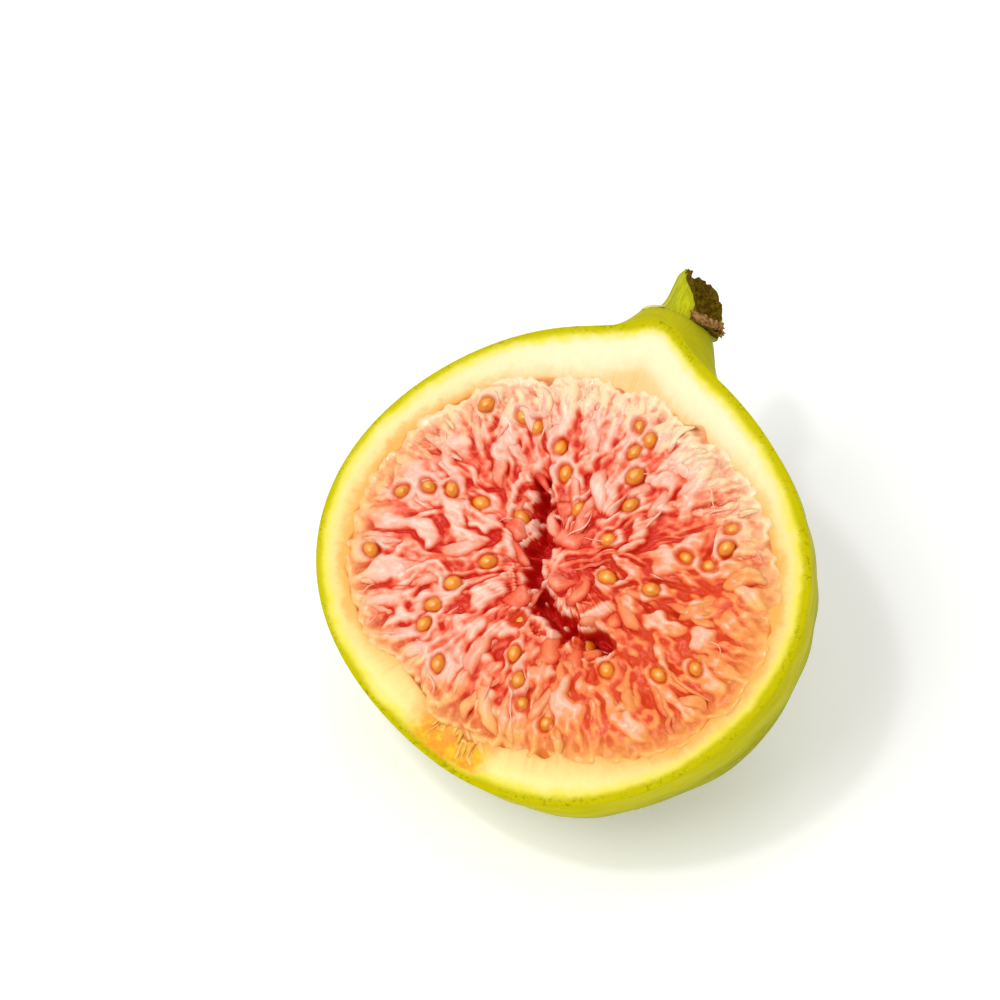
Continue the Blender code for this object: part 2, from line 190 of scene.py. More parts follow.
def closed_skins(name, rings, starts, ends, kept):
    """A mesh object from rings (forms, rings, points, 3), closed by a point at each form's start and end."""
    forms, steps, around = rings.shape[:3]
    places = np.concatenate([rings.reshape(forms, -1, 3), starts[:, None], ends[:, None]], axis=1)
    ring, point = np.meshgrid(np.arange(steps - 1), np.arange(around), indexing="ij")
    here, beside = ring * around + point, ring * around + (point + 1) % around
    quads = np.stack([here, beside, beside + around, here + around], axis=-1).reshape(-1, 4)
    point, final = np.arange(around), (steps - 1) * around
    first = np.stack([np.full(around, steps * around), (point + 1) % around, point], -1)
    last = np.stack([np.full(around, steps * around + 1), final + point, final + (point + 1) % around], -1)
    offsets = np.arange(forms)[:, None, None] * places.shape[1]
    faces = (quads + offsets).reshape(-1, 4).tolist()
    faces += (np.concatenate([first, last]) + offsets).reshape(-1, 3).tolist()
    mesh = bpy.data.meshes.new(name)
    flat = to_frame(places.reshape(-1, 3))
    mesh.from_pydata(flat.tolist(), [], faces)
    for label, values in kept.items():
        values = np.asarray(values, dtype=np.float32)
        kind, socket = ("FLOAT_VECTOR", "vector") if values.ndim == 4 else ("FLOAT", "value")
        values = values.reshape(forms, steps * around, -1)
        values = np.concatenate([values, values[:, :around].mean(1, keepdims=True),
                                 values[:, -around:].mean(1, keepdims=True)], axis=1)
        mesh.attributes.new(label, kind, "POINT").data.foreach_set(socket, values.ravel())
    mesh.update()
    corners = flat[np.array([face[:3] for face in faces])] - flat.mean(0)
    volume = np.einsum("ij,ij->", corners[:, 0], np.cross(corners[:, 1], corners[:, 2]))
    if volume < 0:
        mesh.flip_normals()
    mesh.shade_smooth()
    piece = placed(name, mesh)
    print(f"{name}: {forms} forms, {len(faces) * 2 - forms * around * 2} triangles")
    return piece


# %% [markdown]
# ## Shader maths as plain expressions
# A finish mixes colours by masks, and masks are sums and products. Blender's nodes do that one node at a
# time, which is slow to read. A small class wraps a socket so that Python's own operators add the Math
# nodes, and a second one holds a material and has the one method through which any other node is made.


# %% Wires and finishes
class Wire:
    """A socket that gives a value. Arithmetic on it adds Math nodes."""

    def __init__(self, finish, socket):
        self.finish, self.socket = finish, socket

    def maths(self, operation, *values):
        return self.finish.node("ShaderNodeMath", {"operation": operation}, dict(enumerate(values)))

    def __add__(self, other):
        return self.maths("ADD", self, other)

    def __sub__(self, other):
        return self.maths("SUBTRACT", self, other)

    def __rsub__(self, other):
        return self.maths("SUBTRACT", other, self)

    def __mul__(self, other):
        return self.maths("MULTIPLY", self, other)

    def over(self, start, end):
        """0 at start and 1 at end, smoothly, and level outside them."""
        return self.finish.node("ShaderNodeMapRange", {"interpolation_type": "SMOOTHSTEP"},
                                {"Value": self, "From Min": start, "From Max": end})

    __radd__, __rmul__ = __add__, __mul__


class Finish:
    """A material whose Principled BSDF keeps steady values and is fed by wires."""

    def __init__(self, name, **steady):
        self.material = bpy.data.materials.new(name)
        self.material.use_nodes = True
        self.tree = self.material.node_tree
        self.shader = self.tree.nodes["Principled BSDF"]
        for label, value in steady.items():
            self.shader.inputs[label.replace("_", " ")].default_value = value

    def node(self, kind, settings, sockets, out=0):
        """Adds a node: its settings first, then a value or a wire for each socket. Gives one output."""
        made = self.tree.nodes.new(kind)
        for label, value in settings.items():
            setattr(made, label, value)
        for label, value in sockets.items():
            if isinstance(value, Wire):
                self.tree.links.new(value.socket, made.inputs[label])
            else:
                made.inputs[label].default_value = value
        return Wire(self, made.outputs[out])

    def kept(self, label, out="Fac"):
        return self.node("ShaderNodeAttribute", {"attribute_name": label}, {}, out)

    def blend(self, share, low, high):
        """A colour that goes from low to high as share goes from 0 to 1."""
        low, high = ((*c, 1.0) if isinstance(c, tuple) else c for c in (low, high))
        return self.node("ShaderNodeMix", {"data_type": "RGBA"}, {0: share, 6: low, 7: high}, 2)

    def layers(self, colour, *upper):
        """Lays colours over the first one. Each comes with the share of it that shows."""
        for share, over in upper:
            colour = self.blend(share, colour, over)
        return colour

    def position(self, axis):
        """How far each point lies along one axis of the fruit, in millimetres."""
        return self.node("ShaderNodeSeparateXYZ", {}, {0: self.kept("fruit", "Vector")}, axis)

    def noise(self, scale, detail=3.0, roughness=0.5, at="fruit"):
        return self.node("ShaderNodeTexNoise", {}, {"Vector": self.kept(at, "Vector"), "Scale": scale,
                                                    "Detail": detail, "Roughness": roughness})

    def feed(self, label, wire):
        self.tree.links.new(wire.socket, self.shader.inputs[label])

    def bumps(self, height, depth_mm, strength=1.0):
        self.feed("Normal", self.node("ShaderNodeBump", {}, {"Height": height, "Distance": depth_mm * MM,
                                                             "Strength": strength}, "Normal"))


def dress(piece, finish, slot, *nodes):
    """Gives a piece its finish and its place on the one body. The slot, its place in the record, is not used.
    """
    piece.data.materials.append(finish.material)
    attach(piece, "root")
    if nodes:
        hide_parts(*nodes)


# %% [markdown]
# ## The rounded skin, the neck and the cream wall
# The wall is one body on the real fruit: a thin waxy skin, a cream layer under it, and the hollow inside.
# It could be a sphere that is cut by a Boolean, but a drawn grid keeps the points in rows that follow the
# fruit's ribs, and it can be fine at the rim, where the skin's edge is seen close up. The rows run from the
# middle of the back, over the rim and the cut ring, down into the hollow.

# %% Forms of the skin
MIDDLE_BEHIND_CUT, HALF_DEPTH, STALK_END_LEANER, FLESH_DEPTH = 1.0, 23.0, 0.07, 19.8
NECK_TOP = np.array((-2.4, 27.8, -5.2))
NECK_AXIS = np.array((-0.12, 0.99, -0.03)) / math.sqrt(0.12**2 + 0.99**2 + 0.03**2)
NECK_RISE, NECK_HALF_WIDTH = 5.4, 4.7
HALF_LENGTH, RIB_COUNT, RIB_HEIGHT, SKIN_INSET = 26.0, 19, 0.09, 0.18
UNDER_FLESH, HOLLOW_TOP = 0.35, 0.9        # the face's reach under the flesh, and the hollow's start
RING = 9.0                                 # the circle on which unevenness round the fruit is looked up


def with_neck(places):
    """Raises points of the skin into the neck."""
    from_top = places - NECK_TOP
    up = from_top @ NECK_AXIS
    aside = np.linalg.norm(from_top - up[..., None] * NECK_AXIS, axis=-1)
    rise = NECK_RISE / (1 + (aside / NECK_HALF_WIDTH) ** 6)
    raised = places + (np.minimum(up + rise, 0.0) - up)[..., None] * NECK_AXIS
    return np.where(places[..., 1:2] < 0, places, raised)


def skin_places(angle, share):
    """Points of the skin: share 0 is on the cut edge, and share 1 is the middle of the back."""
    edge = cut_radius(angle)
    dip = eye_groove(*polar(angle, edge).T)
    start = np.arcsin((dip - MIDDLE_BEHIND_CUT) / HALF_DEPTH)
    at_cut = math.asin(-MIDDLE_BEHIND_CUT / HALF_DEPTH)
    turn = start + (math.pi / 2 - start) * share
    across = edge / math.cos(at_cut) * np.cos(turn)
    leaner = 1 - STALK_END_LEANER * np.sin(angle) * np.sin(turn) * np.cos(turn)
    back = MIDDLE_BEHIND_CUT + HALF_DEPTH * np.sin(turn) * leaner
    return with_neck(polar(angle, across, -back))


# %% Build the wall
COLUMNS, SKIN_ROWS, FACE_ROWS, HOLLOW_ROWS = 480, 96, 44, 14
angles = np.linspace(-math.pi, math.pi, COLUMNS, endpoint=False)


def lengthwise(places):
    """The angle round the axis from stalk to eye, and how far along it a point is, from -1 to 1."""
    return np.arctan2(places[..., 2], places[..., 0]), places[..., 1] / HALF_LENGTH


def wall_rows():
    """Rings from the back to the hollow, with how far each point is in from the skin's edge on the cut."""
    rows, inward = [], []
    for row in range(1, SKIN_ROWS):
        share = (1 - row / SKIN_ROWS) ** 1.25
        places = skin_places(angles, share)
        turn, end = lengthwise(places)
        ribs = RIB_HEIGHT * np.sin(RIB_COUNT * turn + 0.8 * np.sin(5 * turn))
        ribs *= 1 - ease(np.abs(end), 0.55, 0.95)
        dents = 0.16 * ripple(places, 9.0, 3) + 0.05 * ripple(places, 2.6, 4)
        rows.append(places - (places / 25.0) * (SKIN_INSET + ribs + dents)[:, None] * ease(share, 0.0, 0.05))
        inward.append(np.full(COLUMNS, -1.0 - 20.0 * share))
    edge, flesh = skin_places(angles, 0.0), flesh_radius(angles)
    reach = np.hypot(edge[:, 0], edge[:, 1])
    for row in range(FACE_ROWS + 1):
        share = (row / FACE_ROWS) ** 1.35
        inner = flesh - UNDER_FLESH + 0.25 * ripple(polar(angles, RING), 0.7, 5)
        across = reach * (1 - share) + inner * share
        x, y = edge[:, 0] / reach * across, edge[:, 1] / reach * across
        distance = reach - across
        rounded = 0.14 * bell(distance, 0.16) + 0.15 * ease(share, 0.93, 1.0)
        places, dip = np.stack([x, y], -1), eye_groove(x, y)
        grain = 0.035 * ripple(places, 0.9, 6) + 0.05 * ripple(places, 3.0, 7)
        torn = 0.16 * ripple(places, 1.3, 8) + 0.22 * ripple(polar(angles, RING, 0.1 * across), 0.35, 9)
        grain = grain * ease(distance, 0.1, 0.8) + torn * dip / EYE_DEPTH
        rows.append(np.stack([x, y, -dip - rounded - grain], axis=-1))
        inward.append(distance)
    for row in range(1, HOLLOW_ROWS + 1):
        turn = math.pi / 2 * row / (HOLLOW_ROWS + 1)
        depth = -HOLLOW_TOP - (FLESH_DEPTH - HOLLOW_TOP) * math.sin(turn)
        rows.append(polar(angles, (flesh - UNDER_FLESH) * math.cos(turn), depth))
        inward.append(reach - flesh + 8.0)
    return np.array(rows), np.array(inward)


rows, inward = wall_rows()
pole = skin_places(np.array([0.0]), 1.0) + (0, 0, 0.25)
hollow_end = np.array([[0.0, 0.0, -FLESH_DEPTH]])
turn, end = lengthwise(rows)
on_cut, on_skin = polar(angles, RING, rows[..., 2] * 0.12), polar(turn, RING, 4.0 * end)
streak = np.where((inward < 0)[..., None], on_skin, on_cut)
wall = closed_skins("skin_and_cream_wall", rows[None], pole, hollow_end, {
    "fruit": rows[None], "streak": streak[None], "inward": inward[None],
    "pith": (inward / np.maximum(0.5, cut_radius(angles) - flesh_radius(angles)))[None],
    "eye": (eye_groove(rows[..., 0], rows[..., 1]) / EYE_DEPTH)[None],
})

# %% [markdown]
# ## The finish of skin and wall
# The skin of a green fig is a waxy yellow-green with faint lengthwise streaks, darker clouds and small pale
# specks. It is a little yellower beside the cut, and on the neck painted shade makes it greyer. One material
# can hold the skin and the cut face, because the kept number "inward" says how far a point lies in from the
# skin's edge: it is below zero all over the outside. Colours are laid over each other, each with a mask for
# the share that shows.

# %% Waxy green skin
GREEN_LIGHT, GREEN, GREEN_DEEP = (0.54, 0.51, 0.002), (0.37, 0.365, 0.002), (0.20, 0.215, 0.002)
GREEN_AT_CUT, NECK_PAINTED_SHADE, PALE_SPECK = (0.66, 0.59, 0.002), (0.30, 0.29, 0.03), (0.80, 0.78, 0.30)

rind = Finish("waxy_skin_and_cream", Roughness=0.45, Specular_IOR_Level=0.012, Subsurface_Weight=0.12,
              Subsurface_Radius=(1.0, 0.8, 0.12), Subsurface_Scale=0.001)
inward_mm = rind.kept("inward")
sideways, stalk_side = rind.position("X"), rind.position("Y")
clouds = rind.noise(0.10, 4.0, 0.6).over(0.35, 0.68)
streaks = rind.noise(1.1, 5.0, 0.65, "streak").over(0.42, 0.66)
fine_streaks = rind.noise(3.2, 3.0, 0.6, "streak").over(0.40, 0.70)
spots = rind.node("ShaderNodeTexVoronoi", {}, {"Vector": rind.kept("fruit", "Vector"), "Scale": 0.85})
specks = (1 - spots.over(0.07, 0.16)) * rind.noise(0.35, 2.0).over(0.40, 0.60)
skin_colour = rind.layers(
    GREEN,
    (clouds * 0.6 + streaks * 0.3, GREEN_DEEP),
    (fine_streaks * 0.35, GREEN_LIGHT),
    (specks * 0.5, PALE_SPECK),
    (inward_mm.over(-6.0, -1.0) * 0.65, GREEN_AT_CUT),
    # Painted shade: the skin of the neck is darker and greyer.
    (stalk_side.over(23.0, 30.0) * (0.35 + streaks * 0.3), NECK_PAINTED_SHADE),
)
print("skin:", len(rind.tree.nodes), "nodes")

# %% [markdown]
# ## The cut face of the wall
# Where the knife went through, green fades into cream within two or three millimetres, unevenly, and on the
# left a painted highlight makes the line of green paler and narrower. Near the flesh the cream takes on
# peach-coloured fibres, and it turns orange there at both sides. The groove of the eye is stained yellow and
# orange, but its rim stays green.

# %% Cream wall, from the rim to the flesh
RIM_GREEN, RIM_FLECK, CREAM_YELLOW = (0.55, 0.49, 0.002), (0.24, 0.25, 0.002), (0.84, 0.74, 0.05)
CREAM, CREAM_DEEP, CREAM_AT_SIDES = (0.93, 0.855, 0.54), (0.92, 0.83, 0.33), (0.91, 0.74, 0.27)
PEACH, ORANGE_PEACH, ORANGE_BORDER = (0.94, 0.52, 0.17), (0.90, 0.42, 0.10), (0.89, 0.42, 0.085)
EYE_YELLOW, EYE_ORANGE = (0.87, 0.56, 0.025), (0.88, 0.36, 0.04)
EYE_FIBRE, EYE_RED = (0.94, 0.68, 0.30), (0.90, 0.36, 0.10)

wobble = rind.noise(0.9, 4.0, 0.6) * 0.9
patches = rind.noise(0.28, 3.0, 0.6)
# Painted highlight: on the left the cut face counts as further in, so its green rim shows paler and narrower.
into_face = inward_mm + (1 - sideways.over(-20.0, -2.0)) * 0.32
flecks = rind.noise(2.2, 4.0, 0.7).over(0.50, 0.64) * patches.over(0.35, 0.6)
fibres = rind.noise(2.6, 4.0, 0.7, "streak").over(0.45, 0.75)
at_sides = sideways.maths("ABSOLUTE", sideways).over(9.0, 22.0)
pith_share = rind.kept("pith")
inner_share = pith_share + wobble * 0.30 + at_sides * 0.08 - stalk_side.over(-6.0, 16.0) * 0.22
border = (pith_share + wobble * 0.35 + patches * 1.20).over(1.38, 1.80) * at_sides
cream = rind.layers(
    CREAM_DEEP,
    ((stalk_side + wobble * 6.0).over(-6.0, 20.0), CREAM),
    (at_sides * (0.40 + sideways.over(-10.0, 10.0) * 0.45), CREAM_AT_SIDES),
)
peach = rind.blend((sideways - stalk_side * 0.3).over(6.0, 22.0), PEACH, ORANGE_PEACH)
eye_patches = rind.noise(0.75, 3.0, 0.6)
eye_colour = rind.layers(
    EYE_YELLOW,
    (eye_patches.over(0.42, 0.60), EYE_ORANGE),
    (fibres * (1 - eye_patches.over(0.35, 0.50)), EYE_FIBRE),
    ((pith_share + wobble * 0.4).over(0.75, 1.30), EYE_RED),
)
in_eye = (rind.kept("eye") + wobble * 0.25).over(0.22, 0.65) * (into_face + wobble).over(0.9, 1.7)
face_colour = rind.layers(
    RIM_GREEN,
    (flecks * 0.8, RIM_FLECK),
    ((into_face + patches * 0.8 - 0.4).over(0.45, 1.35), CREAM_YELLOW),
    ((into_face + wobble + patches * 1.6 - 1.25).over(0.75, 2.3), cream),
    (inner_share.over(0.52, 1.10) * (0.50 + fibres * 0.30 + pith_share.over(0.85, 1.05) * 0.25), peach),
    (border * 0.75, ORANGE_BORDER),
    (in_eye, eye_colour),
)
on_face = inward_mm.over(-0.4, 0.15)
rind.feed("Base Color", rind.blend(on_face, skin_colour, face_colour))
rind.feed("Roughness", 0.40 + streaks * 0.10 + on_face * 0.08)
grain = rind.noise(1.6, 5.0, 0.65) * 0.6 + fibres * 0.4 * on_face + specks * 0.25
rind.bumps(grain, 0.12, 0.55)
dress(wall, rind, "skin_and_wall", "fruit_wall")
print("skin and cream share one finish of", len(rind.tree.nodes), "nodes")

# %% [markdown]
# ## The bed of the flesh
# The flesh is one wet mass. Its florets lie side by side and grow into each other, so that most of them are
# folds rather than loose grains. Loose drops alone look like rice, so the bed carries most florets as a
# soft relief, level with the wall at its edge and sunk in the S-shaped cleft, and drops are only added on
# top of it.

# %% Shape of the bed
FLESH_SUNK, CLEFT_DEPTH, CLEFT_HALF_WIDTH = 0.5, 5.0, 1.5
CLEFT = np.array(((-5.9, 5.5), (-3.6, 1.2), (-2.9, -2.3), (1.3, -6.2), (7.3, -6.1)))
MEETING_POINT = np.array((-1.2, -1.2))


def cleft_distance(x, y):
    here = np.stack([x, y], axis=-1)
    nearest = np.full(np.shape(x), np.inf)
    for a, b in zip(CLEFT, CLEFT[1:]):
        share = np.clip((here - a) @ (b - a) / ((b - a) @ (b - a)), 0.0, 1.0)
        nearest = np.minimum(nearest, np.linalg.norm(here - a - share[..., None] * (b - a), axis=-1))
    return nearest


def flesh_height(x, y):
    """Height of the bed that the florets lie on."""
    sunk = FLESH_SUNK * (1 - np.minimum(1.0, share_to_wall(x, y))**6)
    return -sunk - CLEFT_DEPTH * bell(cleft_distance(x, y), CLEFT_HALF_WIDTH) - eye_groove(x, y)


at_cleft_and_beside = np.array(((-2.9, 6.0), (-2.3, 6.0)))
print("bed height at the cleft and beside it, mm:", np.round(flesh_height(*at_cleft_and_beside), 2))

# %% [markdown]
# ## Where the florets lie
# The large florets lie where the solids have them, so this cell repeats the solids' own rule and its seeded
# draws: a sunflower spiral from the cleft to the wall, with each floret turned towards the middle. Several
# hundred smaller ones, too fine for the solids, fill the gaps by the same rule with draws of their own. Each
# kind has its own seed for the random numbers, so that a change to one kind leaves the others as they are.

# %% Layout of the florets
FLORET_COUNT, FLORET_SEED, SEED_EVERY, FILL_COUNT, FRINGE_COUNT = 118, 12, 3, 400, 150
GOLDEN = math.pi * (3 - math.sqrt(5))
ROOT_SUNK = 0.5


def draws(seed, count):
    """Two ways to draw a number for each of count forms: evenly between limits, or about a mean."""
    source = np.random.default_rng(seed)
    return partial(source.uniform, size=count), partial(source.normal, size=count)


def floret_layout():
    """The solids' own florets."""
    draw = random.Random(FLORET_SEED)
    placed = []
    for i in range(FLORET_COUNT):
        share = math.sqrt(0.05 + 0.87 * (i + 0.5) / FLORET_COUNT)
        angle = i * GOLDEN + draw.uniform(-0.12, 0.12)
        placed.append((
            share, angle, draw.gauss(0.0, 0.34), (4.2 + 2.4 * share) * draw.uniform(0.85, 1.2),
            (2.7 - 0.5 * share) * draw.uniform(0.8, 1.2), draw.uniform(0.2, 0.75),
        ))
    return np.array(placed).T


def floret_ends(share, angle, heading, length, sunk):
    """Roots and tips of florets: roots are sunk in the bed, and tips point at where all of them meet."""
    middle = polar(angle, share * flesh_radius(angle))
    inward = np.arctan2(MEETING_POINT[1] - middle[:, 1], MEETING_POINT[0] - middle[:, 0]) + heading
    step = polar(inward, length) / 2
    root, tip = middle - step, middle + step
    reach = np.maximum(np.linalg.norm(root, axis=1), 1.0)
    longest = (flesh_radius(np.arctan2(root[:, 1], root[:, 0])) - 0.9) / reach
    root = root * np.minimum(1.0, longest)[:, None]
    root_z = flesh_height(*root.T) - sunk
    tip_z = np.maximum(flesh_height(*tip.T), flesh_height(*middle.T) - 1.6) + 0.15
    return np.column_stack([root, root_z]), np.column_stack([tip, tip_z])


def described(roots, tips, width, thick, bow, bend, crease, tint):
    """One row of numbers for each floret, as the relief and the drops both take them."""
    return np.column_stack([roots, tips, width, thick, bow, bend, crease, tint])


def large_florets():
    share, angle, heading, length, width, bow = floret_layout()
    roots, tips = floret_ends(share, angle, heading, length, ROOT_SUNK)
    even, _ = draws(31, FLORET_COUNT)
    return described(roots, tips, width, 0.72 * width, bow, even(-0.9, 0.9),
                     even(-0.3, 0.6).clip(0), even(0, 1))


def small_florets():
    even, about = draws(41, FILL_COUNT)
    number = np.arange(FILL_COUNT)
    share = np.sqrt((number + 0.5) / FILL_COUNT) * 0.91
    angle = number * GOLDEN + 0.7 + even(-0.1, 0.1)
    length = (4.2 + 3.8 * share) * even(0.6, 1.5)
    roots, tips = floret_ends(share, angle, about(0.0, 0.28), length, 0.35)
    width = even(0.5, 1.5)
    return described(roots, tips, width, 0.75 * width, even(0.0, 0.6), even(-1.0, 1.0),
                     even(-0.4, 0.6).clip(0), even(0, 1))


def fringe_florets():
    """The outermost row, which grows straight out of the cream wall."""
    even, about = draws(43, FRINGE_COUNT)
    angle = np.linspace(-math.pi, math.pi, FRINGE_COUNT, endpoint=False) + even(-0.03, 0.03)
    outer = flesh_radius(angle) + even(-0.9, 0.0)
    inner = outer - even(3.6, 8.0)
    lean_to = angle + about(0, 0.05)
    roots = polar(angle, outer, even(-0.5, -0.2))
    roots[:, 2] -= eye_groove(roots[:, 0], roots[:, 1])
    tips = polar(lean_to, inner, even(-0.7, -0.2))
    width = even(0.7, 2.0)
    return described(roots, tips, width, 0.5 * width, even(0.2, 0.55), even(-0.7, 0.7),
                     even(-0.3, 0.6).clip(0), even(0, 1))


large, small, fringe = large_florets(), small_florets(), fringe_florets()
print("florets: large", len(large), "small", len(small), "fringe", len(fringe))

# %% [markdown]
# ## Seeds and their cups
# Each seed, a hard nutlet, sits in the mouth of a large floret, a little deeper than in the solids. One
# that would touch another is left out. The relief needs to know where they are, because it closes round
# each one in a soft raised lip, so their places come first.

# %% Places of the seeds
ALONG_FLORET, SEED_SPACING = 0.62, 1.9

with_seed = np.arange(FLORET_COUNT) % SEED_EVERY == 0
roots, tips, (width, thick, bow) = large[with_seed, :3], large[with_seed, 3:6], large[with_seed, 6:9].T
seed_along = unit(tips - roots)
seed_centres = roots + (tips - roots) * ALONG_FLORET
even, _ = draws(52, len(seed_centres))
seed_centres[:, 2] += bow + 0.42 * thick - even(0.38, 0.82)
between = np.linalg.norm(seed_centres[:, None] - seed_centres, axis=-1)
clear = ~np.triu(between < SEED_SPACING, 1).any(axis=0)
seed_along, seed_centres = seed_along[clear], seed_centres[clear]
print(len(seed_centres), "seeds")

# %% [markdown]
# ## A relief of merged florets
# Each floret raises a dome over the bed. Taking the highest dome at each point would give hard seams, and
# adding them up would give a blur, so they are joined by a soft maximum: the logarithm of a sum of
# exponentials. Points are looked up a little aside of where they lie, which bends all the outlines.

# %% Soft relief of florets over the bed
SEAM_SOFTNESS, WARP, FINE_WARP, S_BEND = 0.13, 0.34, 0.10, 0.35
LIP_HEIGHT, LIP_REACH, DENT_DEPTH = 0.18, 1.25, 0.60


def spring_round_seeds(x, y, height):
    """Raises a lip round each seed and dents the flesh under it. Also gives the nearness to a seed."""
    near_seed = np.zeros_like(x)
    for centre, along in zip(seed_centres, seed_along[:, :2]):
        aside = np.array((-along[1], along[0]))
        from_seed = np.stack([x, y], -1) - centre[:2]
        distance = np.hypot((from_seed @ along) / 1.08, (from_seed @ aside) / 0.86)
        height = height + (LIP_HEIGHT * bell(distance - LIP_REACH, 0.28) - DENT_DEPTH * bell(distance, 0.80))
        near_seed = np.maximum(near_seed, bell(distance, 1.15))
    return height, near_seed


def relief(x, y, florets):
    """Height of the merged florets over points of the cut face, with the tint of the highest one there."""
    share, places = share_to_wall(x, y), np.stack([x, y], -1)
    bed = flesh_height(x, y) - 0.35 * (1 - ease(share, 0.86, 0.98))
    calm = 1 - 0.6 * ease(share, 0.70, 0.95)
    seen_x, seen_y = (
        value + calm * (WARP * ripple(places, 2.4, seed) + FINE_WARP * ripple(places, 0.8, seed + 1))
        for value, seed in ((x, 14), (y, 16)))
    highest, tint = bed.copy(), np.full(bed.shape, 0.5)
    total = np.exp(bed / SEAM_SOFTNESS)
    for floret in florets:
        root, tip = floret[:3], floret[3:6]
        width, thick, bow, bend, crease, own_tint = floret[6:]
        length = np.hypot(*(tip - root)[:2])
        along = (tip - root)[:2] / length
        middle_x, middle_y = (root + tip)[:2] / 2
        near = np.nonzero((seen_x - middle_x) ** 2 + (seen_y - middle_y) ** 2 < (length / 2 + 0.9) ** 2)
        px, py = seen_x[near] - root[0], seen_y[near] - root[1]
        # u runs from root to tip, v across the floret, and q is v as a share of its half width there.
        u = np.clip((px * along[0] + py * along[1]) / length, 1e-3, 1 - 1e-3)
        arch = np.sin(math.pi * u)
        swell = np.sin(math.pi * u**1.25) ** 0.62
        v = py * along[0] - px * along[1] - bend * (arch + S_BEND * np.sin(2 * math.pi * u))
        q = np.minimum(np.abs(v) / (width / 2 * swell), 1.4)
        dome = np.maximum(0.0, 1 - q * q) ** 0.72 - crease * bell(q, 0.36) * arch - 0.6 * q**5
        top = root[2] + (tip[2] - root[2]) * u + bow * arch + thick / 2 * swell * dome
        total[near] += np.exp(top / SEAM_SOFTNESS)
        wins = top > highest[near]
        won = tuple(index[wins] for index in near)
        highest[won], tint[won] = top[wins], own_tint
    return SEAM_SOFTNESS * np.log(total), tint


def streaks_at(x, y):
    """Where a noise is looked up so that it draws streaks from the wall to the middle."""
    return polar(np.arctan2(y, x), 12.0, 0.25 * np.hypot(x, y))


def hollowness(height, steps):
    """How far each point lies below the mean of its surroundings, on a grid that closes round the fruit."""
    soft = height.copy()
    for _ in range(steps):
        padded = np.concatenate([soft[:1], soft, soft[-1:]])
        soft = (soft + np.roll(soft, 1, 1) + np.roll(soft, -1, 1) + padded[:-2] + padded[2:]) / 5
    return soft - height


# %% Build the bed with its relief
BED_COLUMNS, BED_ROWS, UNDER_ROWS, BED_RING = 660, 132, 5, 14.0
BED_MARGIN, BED_DEPTH = 1.4, FLESH_DEPTH - 0.4


def bed_rows():
    """Rings of the relief from the middle outwards and then of the underside, with what the finish reads."""
    turns = np.linspace(-math.pi, math.pi, BED_COLUMNS, endpoint=False)
    across = (flesh_radius(turns) + BED_MARGIN) * (np.arange(1, BED_ROWS + 1) / BED_ROWS)[:, None]
    x, y = across * np.cos(turns), across * np.sin(turns)
    places = np.stack([x, y], -1)
    z, tint = relief(x, y, np.concatenate([large, small, fringe]))
    z, near_seed = spring_round_seeds(x, y, z)
    threads = ripple(polar(turns, BED_RING, across * 0.12), 0.5, 11)
    z += (0.06 * threads * ease(across, 1.0, 4.5) + 0.06 * ripple(places, 0.9, 12)
          + 0.02 * ripple(places, 0.42, 13))
    from_cleft = cleft_distance(x, y) + 0.5 * ripple(places, 2.2, 18) + 0.2 * ripple(places, 0.8, 19)
    z -= 2.6 * bell(from_cleft, 0.85) * ease(across, 0.2, 1.2)
    rim = polar(turns, BED_RING)
    uneven = 0.12 + 0.16 * ripple(rim, 0.45, 21) + 0.50 * ripple(rim, 1.6, 22)
    feather = flesh_radius(turns) + np.minimum(uneven, 0.40)
    z -= 1.3 * ease(across, feather - 0.25, feather + 0.85)
    below = (np.arange(1, UNDER_ROWS) + 0.6) / (UNDER_ROWS + 0.6) * math.pi / 2
    under = [polar(turns, (flesh_radius(turns) - 0.45) * math.cos(turn), -BED_DEPTH * math.sin(turn))
             for turn in below]
    # How far each point lies below its surroundings, at three sizes: the flesh finish paints shade by it.
    creases = 0.55 * hollowness(z, 120) + 0.45 * hollowness(z, 30) + 0.5 * hollowness(z, 7)
    kept = {"tint": tint, "near_seed": near_seed, "crease": creases, "lift": z - flesh_height(x, y)}
    for label, values in kept.items():
        kept[label] = np.pad(values, ((0, UNDER_ROWS - 1), (0, 0)), mode="edge")
    return np.concatenate([np.stack([x, y, z], axis=-1), under]), kept


rows, kept = bed_rows()
kept["share"] = share_to_wall(rows[..., 0], rows[..., 1])
kept["streak"] = streaks_at(rows[..., 0], rows[..., 1])
bed = closed_skins("bed_of_the_flesh", rows[None], rows[0].mean(0)[None], np.array([[0, 0, -BED_DEPTH]]),
                   {"fruit": rows[None], **{label: values[None] for label, values in kept.items()}})
print("relief, mm:", np.round(np.percentile(kept["lift"], (5, 50, 95)), 2),
      "creases, mm:", np.round(np.percentile(kept["crease"], (5, 50, 95)), 2))

# %% [markdown]
# ## Loose florets
# Some florets lie free on the others: soft drops, thin at the root, full past their middle, flattened,
# creased, bent and rolled. Particles could not be shaped one by one, so arrays hold every drop's own sizes
# and one call draws them all.


